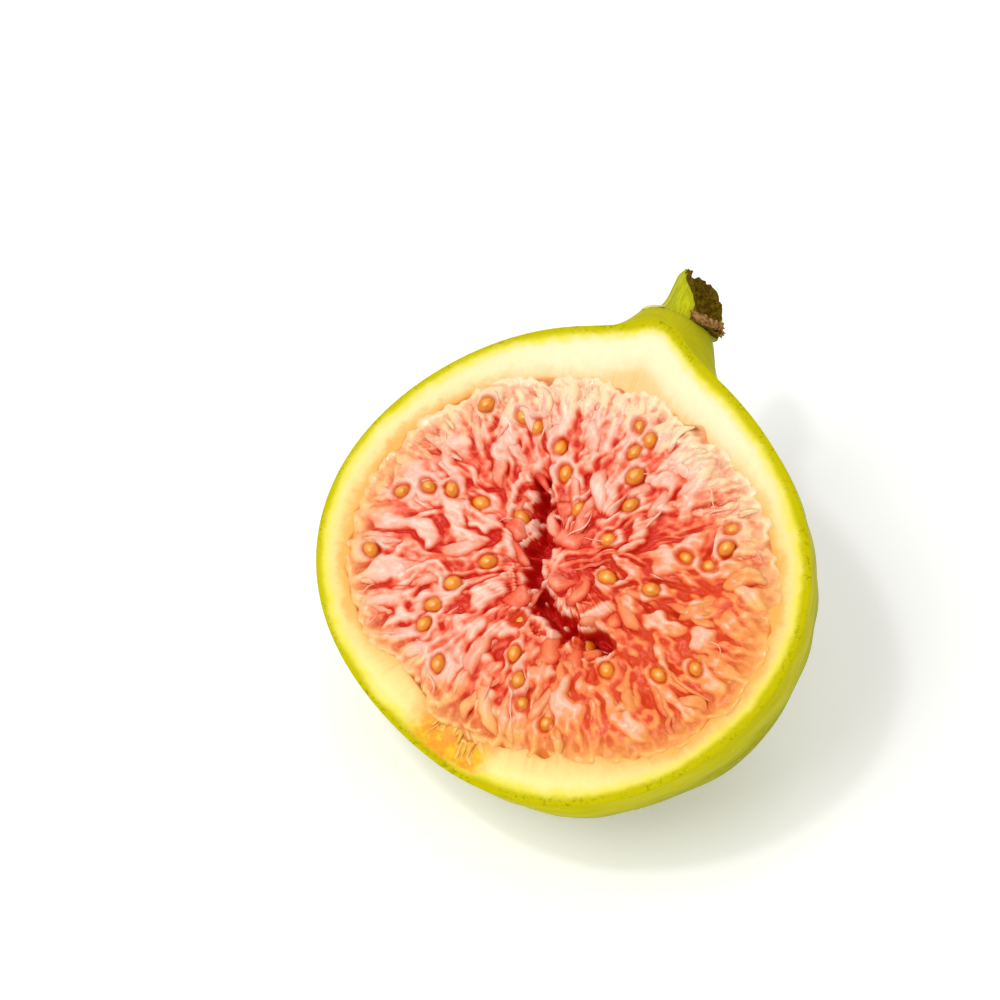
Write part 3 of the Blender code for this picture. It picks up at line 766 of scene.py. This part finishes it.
# %% Drops drawn all at once
def drops(name, roots, tips, width, thick, bow, bend, roll, crease, tint, steps, around, fullness=1.2,
          blunt=0.75, lumps=0.07, facing=(0.0, 0.0, 1.0)):
    """Soft drops from roots to tips (arrays in fruit axes), with what the finish needs kept at each point."""
    along = tips - roots
    side = unit(np.cross(along, facing))
    up = unit(np.cross(side, along))
    u = 0.5 - 0.5 * np.cos(np.linspace(0.09, 0.93, steps) * math.pi)
    phi = np.linspace(0, 2 * math.pi, around, endpoint=False)
    swell = np.sin(math.pi * u**fullness) ** blunt
    arch = np.sin(math.pi * u)
    sway = np.sin(2 * math.pi * u)
    middle = (roots[:, None] + along[:, None] * u[None, :, None]
              + up[:, None] * (bow[:, None] * arch)[..., None]
              + side[:, None] * (bend[:, None] * arch + S_BEND * bend[:, None] * sway)[..., None])
    rolled = roll[:, None] * (0.4 + 0.8 * u)
    side_now = side[:, None] * np.cos(rolled)[..., None] + up[:, None] * np.sin(rolled)[..., None]
    up_now = up[:, None] * np.cos(rolled)[..., None] - side[:, None] * np.sin(rolled)[..., None]
    x = np.cos(phi)
    y = np.where(np.sin(phi) > 0, np.sin(phi), 0.75 * np.sin(phi))
    dent = crease[:, None, None] * (bell(x, 0.38) * (np.sin(phi) > 0))[None, None] * arch[None, :, None]
    half_w, half_t = width[:, None] / 2 * swell, thick[:, None] / 2 * swell
    rings = (middle[:, :, None]
             + side_now[:, :, None] * (half_w[..., None] * x)[..., None]
             + up_now[:, :, None] * (half_t[..., None] * (y - dent))[..., None])
    uneven = np.stack([ripple(rings, 1.0, 20 + k) + 1.6 * ripple(rings, 2.4, 24 + k) for k in range(3)], -1)
    rings += lumps * uneven * swell[None, :, None, None]
    height = y[None, None] - dent
    x, y, z = np.moveaxis(rings, -1, 0)
    lift = z - flesh_height(x, y)
    kept = {
        # On a drop, crease is highest on its underside, where the flesh finish paints shade.
        "fruit": rings, "lift": lift, "crease": np.broadcast_to(0.22 - 0.40 * height, lift.shape),
        "share": share_to_wall(x, y), "near_seed": np.zeros(lift.shape), "streak": streaks_at(x, y),
        # Ridge is highest along the top of a drop's middle: the seed and eye-scale finishes paint highlight
        # and shade by it.
        "ridge": np.broadcast_to(height * np.sqrt(arch)[None, :, None], lift.shape),
        "tint": np.broadcast_to(tint[:, None, None], lift.shape),
    }
    return closed_skins(name, rings, roots, tips, kept)


def loose(name, florets, seed, steps, around, raised=0.0, slender=1.0):
    """Florets of a layout drawn as loose drops, raised a little off the relief."""
    even, _ = draws(seed, len(florets))
    width, thick, bow, bend, crease, tint = florets[:, 6:].T
    return drops(name, florets[:, :3], florets[:, 3:6], width * slender, thick, bow + raised, bend,
                 even(-0.5, 0.5), crease * 0.6, tint, steps, around, blunt=0.58)


# %% Large and small loose florets
def one_in_six(florets):
    return np.arange(len(florets)) % 6 == 1


off_cleft = cleft_distance(*((small[:, :2] + small[:, 3:5]) / 2).T) > 1.1
free_large = loose("large_florets", large[one_in_six(large)], 32, 28, 22, 0.12, 0.78)
free_small = loose("small_florets", small[off_cleft & one_in_six(small)], 42, 22, 16, 0.16)
free_fringe = loose("fringe_of_florets", fringe[::7], 44, 22, 16, 0.05)

# %% [markdown]
# At the cleft the florets are longest. They hang over both of its edges as smooth lobes, which is where the
# eye goes first, so they get a layout of their own along the line of the cleft.

# %% Lobes over the cleft
LOBE_COUNT = 18


def cleft_lobes():
    draw = np.random.default_rng(46)
    steps = np.linalg.norm(np.diff(CLEFT, axis=0), axis=1)
    walked = np.linspace(0.0, steps.sum(), LOBE_COUNT // 2) + draw.uniform(-0.4, 0.4, LOBE_COUNT // 2)
    ends = np.concatenate([[0.0], np.cumsum(steps)])
    line, ahead, behind = (np.stack([np.interp(walked + further, ends, CLEFT[:, k]) for k in range(2)], -1)
                           for further in (0.0, 0.5, -0.5))
    beside = unit((ahead - behind)[:, ::-1] * (-1, 1))
    beside, line = np.concatenate([beside, -beside]), np.concatenate([line, line])
    root = line + beside * draw.uniform(3.4, 5.8, LOBE_COUNT)[:, None] + draw.normal(0, 0.5, (LOBE_COUNT, 2))
    tip = line + beside * draw.uniform(0.5, 1.7, LOBE_COUNT)[:, None]
    root_z = flesh_height(*root.T) - 0.2
    tip_z = draw.uniform(-2.6, -1.3, LOBE_COUNT)
    width = draw.uniform(1.4, 2.9, LOBE_COUNT)
    return described(np.column_stack([root, root_z]), np.column_stack([tip, tip_z]), width, 0.8 * width,
                     draw.uniform(0.3, 0.8, LOBE_COUNT), draw.uniform(-1.1, 1.1, LOBE_COUNT),
                     draw.uniform(-0.3, 0.5, LOBE_COUNT).clip(0), draw.uniform(0, 0.5, LOBE_COUNT))


lobes = loose("lobes_at_the_cleft", cleft_lobes(), 47, 30, 24)

# %% [markdown]
# ## The finish of the flesh
# Ripe flesh is translucent: pale pink where a fold is raised, coral on its flanks, crimson where it goes
# down into a crease, and cream where it grows out of the wall. The paler raised folds are painted light, and
# the crimson in creases and under the loose drops is partly the flesh's own red and partly painted shade.
# Three kept numbers separate these: the height over the bed, the depth of the crease, and the share of the
# way to the wall. One finish serves relief and drops.

# %% Translucent pink flesh
PINK_PALE, PINK, CORAL = (0.97, 0.62, 0.49), (0.94, 0.33, 0.20), (0.87, 0.14, 0.065)
CRIMSON, CLEFT_RED_AND_SHADE = (0.66, 0.020, 0.008), (0.60, 0.010, 0.005)
ORANGE, AMBER_RED, EYE_FLESH = (0.88, 0.30, 0.055), (0.78, 0.11, 0.015), (0.93, 0.58, 0.19)
WALL_CREAM, WALL_PEACH, WALL_AMBER = (0.97, 0.74, 0.44), (0.93, 0.53, 0.17), (0.90, 0.46, 0.10)

pulp = Finish("translucent_pink_flesh", Roughness=0.30, Specular_IOR_Level=0.22, Coat_Roughness=0.05,
              Subsurface_Weight=0.35, Subsurface_Radius=(1.0, 0.65, 0.5), Subsurface_Scale=0.0007)
lift, crease, tint, share, near_seed = map(pulp.kept, ("lift", "crease", "tint", "share", "near_seed"))
place = pulp.kept("fruit", "Vector")
up_the_fruit, raised = pulp.position("Y"), pulp.position("Z")
mottle = pulp.noise(0.8, 5.0, 0.65)
veins = pulp.noise(1.9, 4.0, 0.65, "streak").over(0.40, 0.64) * share.over(0.06, 0.22)
regions = pulp.noise(0.22, 2.0, 0.5)
lower_right = pulp.node("ShaderNodeVectorMath", {"operation": "DOT_PRODUCT"},
                        {0: place, 1: (0.88, -0.48, 0.0)}, "Value")
warm = (lower_right + mottle * 8.0 - 4.0).over(-2.0, 17.0)
# Painted light and shade: lift and raised pale the tops of folds, and crease darkens hollows and the drops'
# undersides towards crimson, partly the flesh's own red. The other terms are the flesh's own variation.
level = (lift * 0.25 + raised * 0.38 - crease * 1.9 + mottle * 1.3 + tint * 0.34 + regions * 1.0
         + share.over(0.25, 0.85) * 0.32 + up_the_fruit.over(4.0, 16.0) * 0.16 - warm * 0.42 - 1.55)
print("height, crease, tint, mottle and place make one level of lightness")

# %% [markdown]
# The level picks the colour from crimson to pale pink. Over that go amber at the lower right, cream or
# amber where a floret grows out of the wall, and a red ring of painted shadow round each seed.

# %% Colours of the flesh by level
stalk_side = up_the_fruit.over(-4.0, 16.0)
at_wall = (share + veins * (0.05 + stalk_side * 0.15) + mottle * 0.08).over(0.88 - stalk_side * 0.03, 1.08)
wall_colour = pulp.layers(WALL_PEACH, (stalk_side, WALL_CREAM), (warm * (1 - stalk_side), WALL_AMBER))
eye_end = polar(EYE_ANGLE, flesh_radius(EYE_ANGLE), 0.0).tolist()
from_eye = pulp.node("ShaderNodeVectorMath", {"operation": "DISTANCE"}, {0: place, 1: eye_end}, "Value")
flesh_colour = pulp.layers(
    CRIMSON,
    (warm * 0.55, AMBER_RED),
    (level.over(-0.60, 0.05), CORAL),
    (level.over(-0.05, 0.50), PINK),
    (level.over(0.30, 1.05) * (0.6 + veins * 0.4), PINK_PALE),
    (warm * level.over(-0.4, 0.3) * (0.85 - level.over(0.35, 0.85) * 0.5), ORANGE),
    (at_wall * (0.65 + level.over(0.0, 0.6) * 0.35), wall_colour),
    ((1 - (from_eye + mottle * 4.0).over(3.5, 8.5)) * level.over(-0.3, 0.5) * 0.75, EYE_FLESH),
    # Painted shadow: a red ring round each seed.
    (near_seed.over(0.18, 0.75) * 0.6, AMBER_RED),
    (near_seed.over(0.36, 0.62) * 0.30, CRIMSON),
    # Deep in the cleft the red darkens: partly the cleft's own red, partly painted shade.
    (1 - raised.over(-2.6, -1.0), CLEFT_RED_AND_SHADE),
)
pulp.feed("Base Color", flesh_colour)
pulp.feed("Roughness", 0.20 + veins * 0.22)
pulp.feed("Coat Weight", level.over(0.0, 0.7) * 0.5)
pulp.bumps(veins * 0.5 + mottle * 0.5, 0.14, 0.40)
print("flesh:", len(pulp.tree.nodes), "nodes")
for piece in (bed, free_large, free_small, free_fringe, lobes):
    dress(piece, pulp, "flesh", "florets")

# %% [markdown]
# ## The seeds
# A fig's seeds are small hard nutlets, amber with a wet glint, lightened along the top by a painted highlight
# and darkened to red-brown at the sides by painted shade. They are short, nearly round drops, so the same
# function draws them. A thin coat over the colour gives the glint.

# %% Seeds
SEED_AMBER, SEED_ORANGE = (0.86, 0.29, 0.007), (0.70, 0.18, 0.004)
SEED_PAINTED_HIGHLIGHT, SEED_PAINTED_SHADE = (0.97, 0.60, 0.15), (0.60, 0.10, 0.004)

even, _ = draws(51, len(seed_centres))
size = even(0.9, 1.12)
half_seed, straight = seed_along * (0.98 * size)[:, None], np.zeros(len(size))
seeds = drops("seeds", seed_centres - half_seed, seed_centres + half_seed, 1.5 * size, 1.45 * size, straight,
              straight, straight, straight, even(0, 1), 18, 20, fullness=1.05, blunt=0.52, lumps=0.015)

seed_finish = Finish("amber_seed", Roughness=0.25, Specular_IOR_Level=0.25,
                     Coat_Weight=0.5, Coat_Roughness=0.10, Subsurface_Weight=0.2,
                     Subsurface_Radius=(1.0, 0.6, 0.2), Subsurface_Scale=0.0008)
tint, ridge = seed_finish.kept("tint"), seed_finish.kept("ridge")
blotches = seed_finish.noise(1.1, 3.0).over(0.35, 0.65)
seed_finish.feed("Base Color", seed_finish.layers(
    SEED_AMBER,
    (tint * 0.5 + blotches * 0.5, SEED_ORANGE),
    # Painted highlight along the top of each seed, and painted shade down its sides.
    (ridge.over(0.80, 1.04) * 0.60, SEED_PAINTED_HIGHLIGHT),
    ((1 - ridge.over(0.05, 0.85)) * 0.75, SEED_PAINTED_SHADE),
))
seed_finish.bumps(seed_finish.noise(3.0, 3.0), 0.05, 0.4)
dress(seeds, seed_finish, "flesh", "florets")

# %% [markdown]
# ## Threads
# Each floret ends in a fine pale thread, its style. On the cut they lie over the florets in loose curls.
# They are thin drops with an even width, so the same function draws them.

# %% Pale threads
THREAD_COUNT = 30
THREAD_PINK, THREAD_PALE = (0.92, 0.32, 0.20), (0.96, 0.55, 0.38)

even, about = draws(61, THREAD_COUNT)
share, angle = np.sqrt(even(0.02, 0.92)), even(-math.pi, math.pi)
roots, tips = floret_ends(share, angle, about(0, 0.7), even(1.6, 4.2), 0.0)
roots[:, 2] += 0.75
tips[:, 2] += 0.55
straight = np.zeros(THREAD_COUNT)
threads = drops("pale_threads", roots, tips, even(0.14, 0.28), even(0.16, 0.30), even(0.1, 0.8),
                even(-0.8, 0.8), straight, straight, even(0, 1), 14, 6, fullness=1.0, lumps=0.04)
thread_finish = Finish("pale_thread", Roughness=0.3, Coat_Weight=0.5, Coat_Roughness=0.1,
                       Subsurface_Weight=0.3, Subsurface_Radius=(1.0, 0.5, 0.3), Subsurface_Scale=0.0008)
thread_finish.feed("Base Color", thread_finish.blend(thread_finish.kept("tint"), THREAD_PINK, THREAD_PALE))
dress(threads, thread_finish, "flesh")

# %% [markdown]
# ## The eye
# At the blossom end small scales overlap and close the fig's only opening, the eye. Cut lengthwise they
# show as thin fibres, orange and yellow, that fan out in a groove through the wall. Here they are slender
# drops.

# %% Scales of the eye
outward = np.array((math.cos(EYE_ANGLE), math.sin(EYE_ANGLE), 0.0))
across = np.array((-outward[1], outward[0], 0.0))
SCALE_COUNT, FAN_HALF_WIDTH, OVER_GROOVE = 54, 3.1, 0.09
SCALE_ORANGE, SCALE_AMBER, SCALE_PAINTED_SHADE = (0.88, 0.38, 0.03), (0.90, 0.52, 0.05), (0.86, 0.36, 0.03)
SCALE_PALE, SCALE_CREAM = (0.92, 0.56, 0.15), (0.93, 0.58, 0.16)

even, about = draws(71, SCALE_COUNT)
layer = np.sort(even(0, 1))
fan, turn = even(-1, 1), about(0, 0.75)
inner, outer = flesh_radius(EYE_ANGLE) - 2.0, cut_radius(EYE_ANGLE) - 1.0
length = even(1.8, 4.4)
from_middle = inner + (outer - inner - 0.7 * length) * (1 - layer)
heading = outward * np.cos(turn)[:, None] + across * (np.sin(turn) + 0.25 * fan)[:, None]
roots = outward * from_middle[:, None] + across * (FAN_HALF_WIDTH * fan)[:, None]
tips = roots + heading * length[:, None]
tips *= np.minimum(1, (outer - 0.1) / np.linalg.norm(tips, axis=1))[:, None]
for ends, highest in ((roots, -0.30), (tips, -0.12)):
    ends[:, 2] = highest - 0.22 * layer - eye_groove(ends[:, 0], ends[:, 1]) - OVER_GROOVE
width = even(0.25, 0.70)
scales = drops("scales_of_the_eye", roots, tips, width, 0.6 * width, even(-0.1, 0.12), even(-0.7, 0.7),
               even(-0.5, 0.5), even(0, 0.4), even(0, 1), 24, 14, blunt=0.55, lumps=0.10)
scale_finish = Finish("eye_scale", Roughness=0.35, Specular_IOR_Level=0.3,
                      Coat_Weight=0.2, Coat_Roughness=0.06, Subsurface_Weight=0.2,
                      Subsurface_Radius=(1.0, 0.7, 0.3), Subsurface_Scale=0.0006)
tint = scale_finish.kept("tint")
scale_finish.feed("Base Color", scale_finish.layers(
    SCALE_ORANGE,
    (tint.over(0.1, 0.6), SCALE_AMBER),
    (tint.over(0.6, 0.9), SCALE_PALE),
    (scale_finish.noise(1.3, 4.0).over(0.4, 0.65) * 0.6, SCALE_CREAM),
    # Painted shade: each scale is darker on its underside and towards its ends.
    ((1 - scale_finish.kept("ridge").over(-0.3, 0.7)) * 0.6, SCALE_PAINTED_SHADE),
))
scale_finish.bumps(scale_finish.noise(2.5, 4.0), 0.08, 0.5)
dress(scales, scale_finish, "eye_scales", "eye_scales")

# %% [markdown]
# ## The stalk
# The short stub of the stalk is a green, ribbed post. Its end is torn off on a steep slant, and the torn
# face has dried to a rough dark brown. The grid runs up the side to the slant and then inwards over the
# torn face.

# %% Stub of the stalk
STALK_RADIUS, STALK_TIP_RADIUS, STALK_HEIGHT, TORN_HEIGHT = 3.2, 2.8, 5.2, 3.9
STALK_BESIDE_NECK_AXIS, PIECE_GAP = 0.9, 0.3
TORN_NORMAL = np.array((0.64, 0.71, 0.30)) / math.sqrt(0.64**2 + 0.71**2 + 0.30**2)
side = np.cross(NECK_AXIS, (0, 0, 1.0))
side /= np.linalg.norm(side)
front = np.cross(side, NECK_AXIS)
base = NECK_TOP + NECK_AXIS * PIECE_GAP + side * STALK_BESIDE_NECK_AXIS
STALK_COLUMNS, SIDE_ROWS, TORN_ROWS, FOOT_SUNK, FOOT_FLARE = 120, 36, 28, 0.6, 0.9
spin = np.linspace(0, 2 * math.pi, STALK_COLUMNS, endpoint=False)


def away_from_stalk(turn):
    return np.cos(turn)[:, None] * side + np.sin(turn)[:, None] * front


def stalk_rows(turn):
    """Rings up the side from below the neck's top, over the rim, and in over the torn face."""
    out = away_from_stalk(turn)
    ribs = 1 + 0.03 * np.sin(7 * turn + 1.0) + 0.015 * np.sin(19 * turn)
    facing_left = bell(turn - math.pi, 1.0)

    def radius(height):
        left = 1 - np.clip(height / STALK_HEIGHT, 0, 1)
        post = STALK_TIP_RADIUS + (STALK_RADIUS - STALK_TIP_RADIUS) * left**2
        post = post - 0.35 * ease(height, 3.6, 5.2) ** 2
        flare = facing_left * FOOT_FLARE * bell(height + FOOT_SUNK, 1.1)
        return (post + flare) * ribs

    top = np.full(STALK_COLUMNS, TORN_HEIGHT)
    for _ in range(8):
        top = TORN_HEIGHT - (out @ TORN_NORMAL) * radius(top) / (NECK_AXIS @ TORN_NORMAL)
        top = np.clip(top, 0.05, STALK_HEIGHT - 0.05 + 0.1 * np.sin(5 * turn))
    ragged = 0.14 * ripple(polar(turn, 3.0), 0.5, 81)
    rows, torn = [], []
    for row in range(SIDE_ROWS + 1):
        share = row / SIDE_ROWS
        height = (top - 0.10 + ragged) * share - FOOT_SUNK * (1 - share)
        rounded = 0.22 * share**14
        rows.append(base + NECK_AXIS * height[:, None] + out * (radius(height) - rounded)[:, None])
        torn.append(np.maximum(0.8 * ease(np.array(share), 0.90, 1.0), 1 - ease(top, 1.1, 2.0)))
    rim = rows[-1]
    middle = rim.mean(0)
    for row in range(1, TORN_ROWS):
        share = row / TORN_ROWS
        places = rim + (middle - rim) * share
        rough = 0.20 * ripple(places, 0.6, 82) + 0.12 * ripple(places, 0.28, 83) - 0.35 * share**0.7
        rows.append(places + TORN_NORMAL * (rough * min(1.0, share * 6))[:, None])
        torn.append(np.full(STALK_COLUMNS, 1.0))
    return np.array(rows), np.array(torn), middle


rows, torn, middle = stalk_rows(spin)
up = (rows - base) @ NECK_AXIS
stub = closed_skins("stub_of_the_stalk", rows[None], base[None], (middle - TORN_NORMAL * 0.4)[None], {
    "fruit": rows[None], "streak": polar(spin, 6.0, up * 0.35)[None], "torn": torn[None],
})

# %% Green stub with a brown torn end
BARK_YELLOW, BARK_GREEN = (0.56, 0.56, 0.010), (0.40, 0.40, 0.004)
TORN_DARK, TORN_BROWN = (0.085, 0.046, 0.002), (0.24, 0.145, 0.004)

stub_finish = Finish("green_stub_brown_end", Roughness=0.6, Specular_IOR_Level=0.06)
torn_share = stub_finish.kept("torn")
lines = stub_finish.noise(1.5, 4.0, 0.65, "streak").over(0.38, 0.66)
bark = stub_finish.blend(lines, BARK_YELLOW, BARK_GREEN)
crumbs = stub_finish.noise(2.6, 6.0, 0.75)
brown = stub_finish.blend(crumbs.over(0.35, 0.65), TORN_DARK, TORN_BROWN)
is_torn = (torn_share + crumbs * 0.4 - 0.2).over(0.45, 0.75)
stub_finish.feed("Base Color", stub_finish.blend(is_torn, bark, brown))
stub_finish.feed("Roughness", 0.5 + torn_share * 0.4)
stub_finish.bumps(crumbs * torn_share + lines * 0.4, 0.22, 0.9)
dress(stub, stub_finish, "stalk", "stalk")

# %% [markdown]
# At the stalk's foot sit small dry bracts, pale and papery, and crumbs of a brown crust. Both are flat
# drops, so the function that draws the florets draws them too, with the flat side towards the neck's axis.

# %% Dry bracts and crust at its foot
# One row for each bract: its turn round the stalk, reach, height of its tip, width and tint.
BRACTS = ((math.radians(146), 2.2, -0.85, 2.8, 0.0), (math.radians(52), 1.1, -0.3, 2.2, 0.7),
          (math.radians(285), 0.7, -0.3, 2.4, 0.8))
CRUST_COUNT = 40
PAPER_DARK, PAPER_LIGHT = (0.78, 0.66, 0.22), (0.92, 0.84, 0.46)
CRUST_DARK, CRUST_LIGHT = (0.15, 0.070, 0.012), (0.52, 0.27, 0.09)

draw = np.random.default_rng(91)
bract_turns, reaches, tip_heights, widths, tints = np.array(BRACTS).T
reach = np.append(reaches, draw.uniform(0.1, 0.6, CRUST_COUNT))
turn = np.append(bract_turns, draw.uniform(-0.6, 1.2, CRUST_COUNT))
is_bract, out = np.arange(len(turn)) < len(BRACTS), away_from_stalk(turn)
even = partial(draw.uniform, size=len(turn))
roots = base + out * (STALK_RADIUS - np.where(is_bract, 1.6, 0.6))[:, None]
tips = base + out * (STALK_RADIUS + reach)[:, None]


def bracts_first(values, drawn):
    """The bracts' own values, and then a drawn one for each crumb of the crust."""
    drawn[:len(BRACTS)] = values
    return drawn


roots = roots + NECK_AXIS * bracts_first(0.10, even(-0.2, 0.5))[:, None]
tips = tips + NECK_AXIS * bracts_first(tip_heights, even(-0.3, 0.6))[:, None]
bracts = drops("dry_bracts", roots, tips, bracts_first(widths, even(0.5, 1.3)), np.where(is_bract, 0.30, 0.6),
               np.where(is_bract, 0.5, 0.0), even(-0.3, 0.3), even(-0.4, 0.4), even(0, 0.4),
               bracts_first(tints, even(0.6, 1)), 24, 20, lumps=0.12, facing=NECK_AXIS)
bract_finish = Finish("dry_bract", Roughness=0.7, Specular_IOR_Level=0.1)
papery = bract_finish.blend(bract_finish.noise(1.2, 5.0, 0.7).over(0.35, 0.65), PAPER_DARK, PAPER_LIGHT)
crusty = bract_finish.blend(bract_finish.noise(1.6, 5.0, 0.7).over(0.35, 0.65), CRUST_DARK, CRUST_LIGHT)
bract_finish.feed("Base Color", bract_finish.blend(bract_finish.kept("tint").over(0.3, 0.6), papery, crusty))
bract_finish.bumps(bract_finish.noise(3.0, 5.0, 0.7), 0.15, 0.8)
dress(bracts, bract_finish, "stalk", "stalk")

# %% [markdown]
# ## Floor, light and camera
# A wide pale floor and large soft lights give the bright, even look of a studio. The camera looks down at
# the half so that its cut face is seen at the slant at which a sliced fruit is usually shown.

# %% Floor
FLOOR_HALF, FLOOR_GLOW, WORLD_STRENGTH = 3.0, 0.16, 0.58

floor_mesh = bpy.data.meshes.new("floor")
corners = [(x * FLOOR_HALF, y * FLOOR_HALF, 0) for x, y in ((-1, -1), (1, -1), (1, 1), (-1, 1))]
floor_mesh.from_pydata(corners, [], [(0, 1, 2, 3)])
floor = placed("floor", floor_mesh)
floor_finish = Finish("pale_floor", Roughness=0.7, Base_Color=(0.96, 0.96, 0.96, 1.0),
                      Emission_Color=(1.0, 1.0, 1.0, 1.0), Emission_Strength=FLOOR_GLOW)
floor_mesh.materials.append(floor_finish.material)

# %% Lights
world = bpy.data.worlds.new("studio")
bpy.context.scene.world = world
world.use_nodes = True
background = world.node_tree.nodes["Background"].inputs
background["Color"].default_value = (1.0, 1.0, 1.0, 1.0)
background["Strength"].default_value = WORLD_STRENGTH


def soft_light(name, place, size, power):
    """A round light that looks at the fruit."""
    light = bpy.data.lights.new(name, "AREA")
    light.shape, light.size, light.energy = "DISK", size, power
    lamp = placed(name, light)
    lamp.location = place
    lamp.rotation_euler = (-Vector(place)).to_track_quat("-Z", "Y").to_euler()


soft_light("key_from_upper_left", (-0.45, -0.25, 0.75), 0.60, 3.4)
soft_light("small_light_for_wet_glints", (-0.25, -0.15, 0.80), 0.07, 0.85)
soft_light("fill_from_right", (0.6, -0.5, 0.45), 0.5, 0.8)
soft_light("back_light", (0.1, 0.7, 0.6), 0.4, 0.8)

# %% Camera
ELEVATION, DISTANCE, FIELD, SENSOR = math.radians(55.0), 0.75, 0.100, 36.0
MIDDLE_IN_PICTURE = 0.565, 0.560           # the middle of the cut face, from the picture's top left

camera_data = bpy.data.cameras.new("camera")
camera = bpy.context.scene.camera = placed("camera", camera_data)
right, upward = np.array((1.0, 0, 0)), np.array((0, math.sin(ELEVATION), math.cos(ELEVATION)))
back = np.array((0, -math.cos(ELEVATION), math.sin(ELEVATION)))
aside, down = ((share - 0.5) * FIELD for share in MIDDLE_IN_PICTURE)
place = FACE_CENTRE - right * aside + upward * down + back * DISTANCE
camera.matrix_world = Matrix(np.column_stack([right, upward, back, place]).tolist() + [[0, 0, 0, 1]])
camera_data.sensor_width, camera_data.lens = SENSOR, SENSOR * DISTANCE / FIELD
camera_data.clip_start, camera_data.clip_end = 0.01, 20.0
bpy.context.scene.view_settings.view_transform = "Standard"
print("lens, mm:", round(camera_data.lens))

# %% The end
bpy.context.view_layer.update()
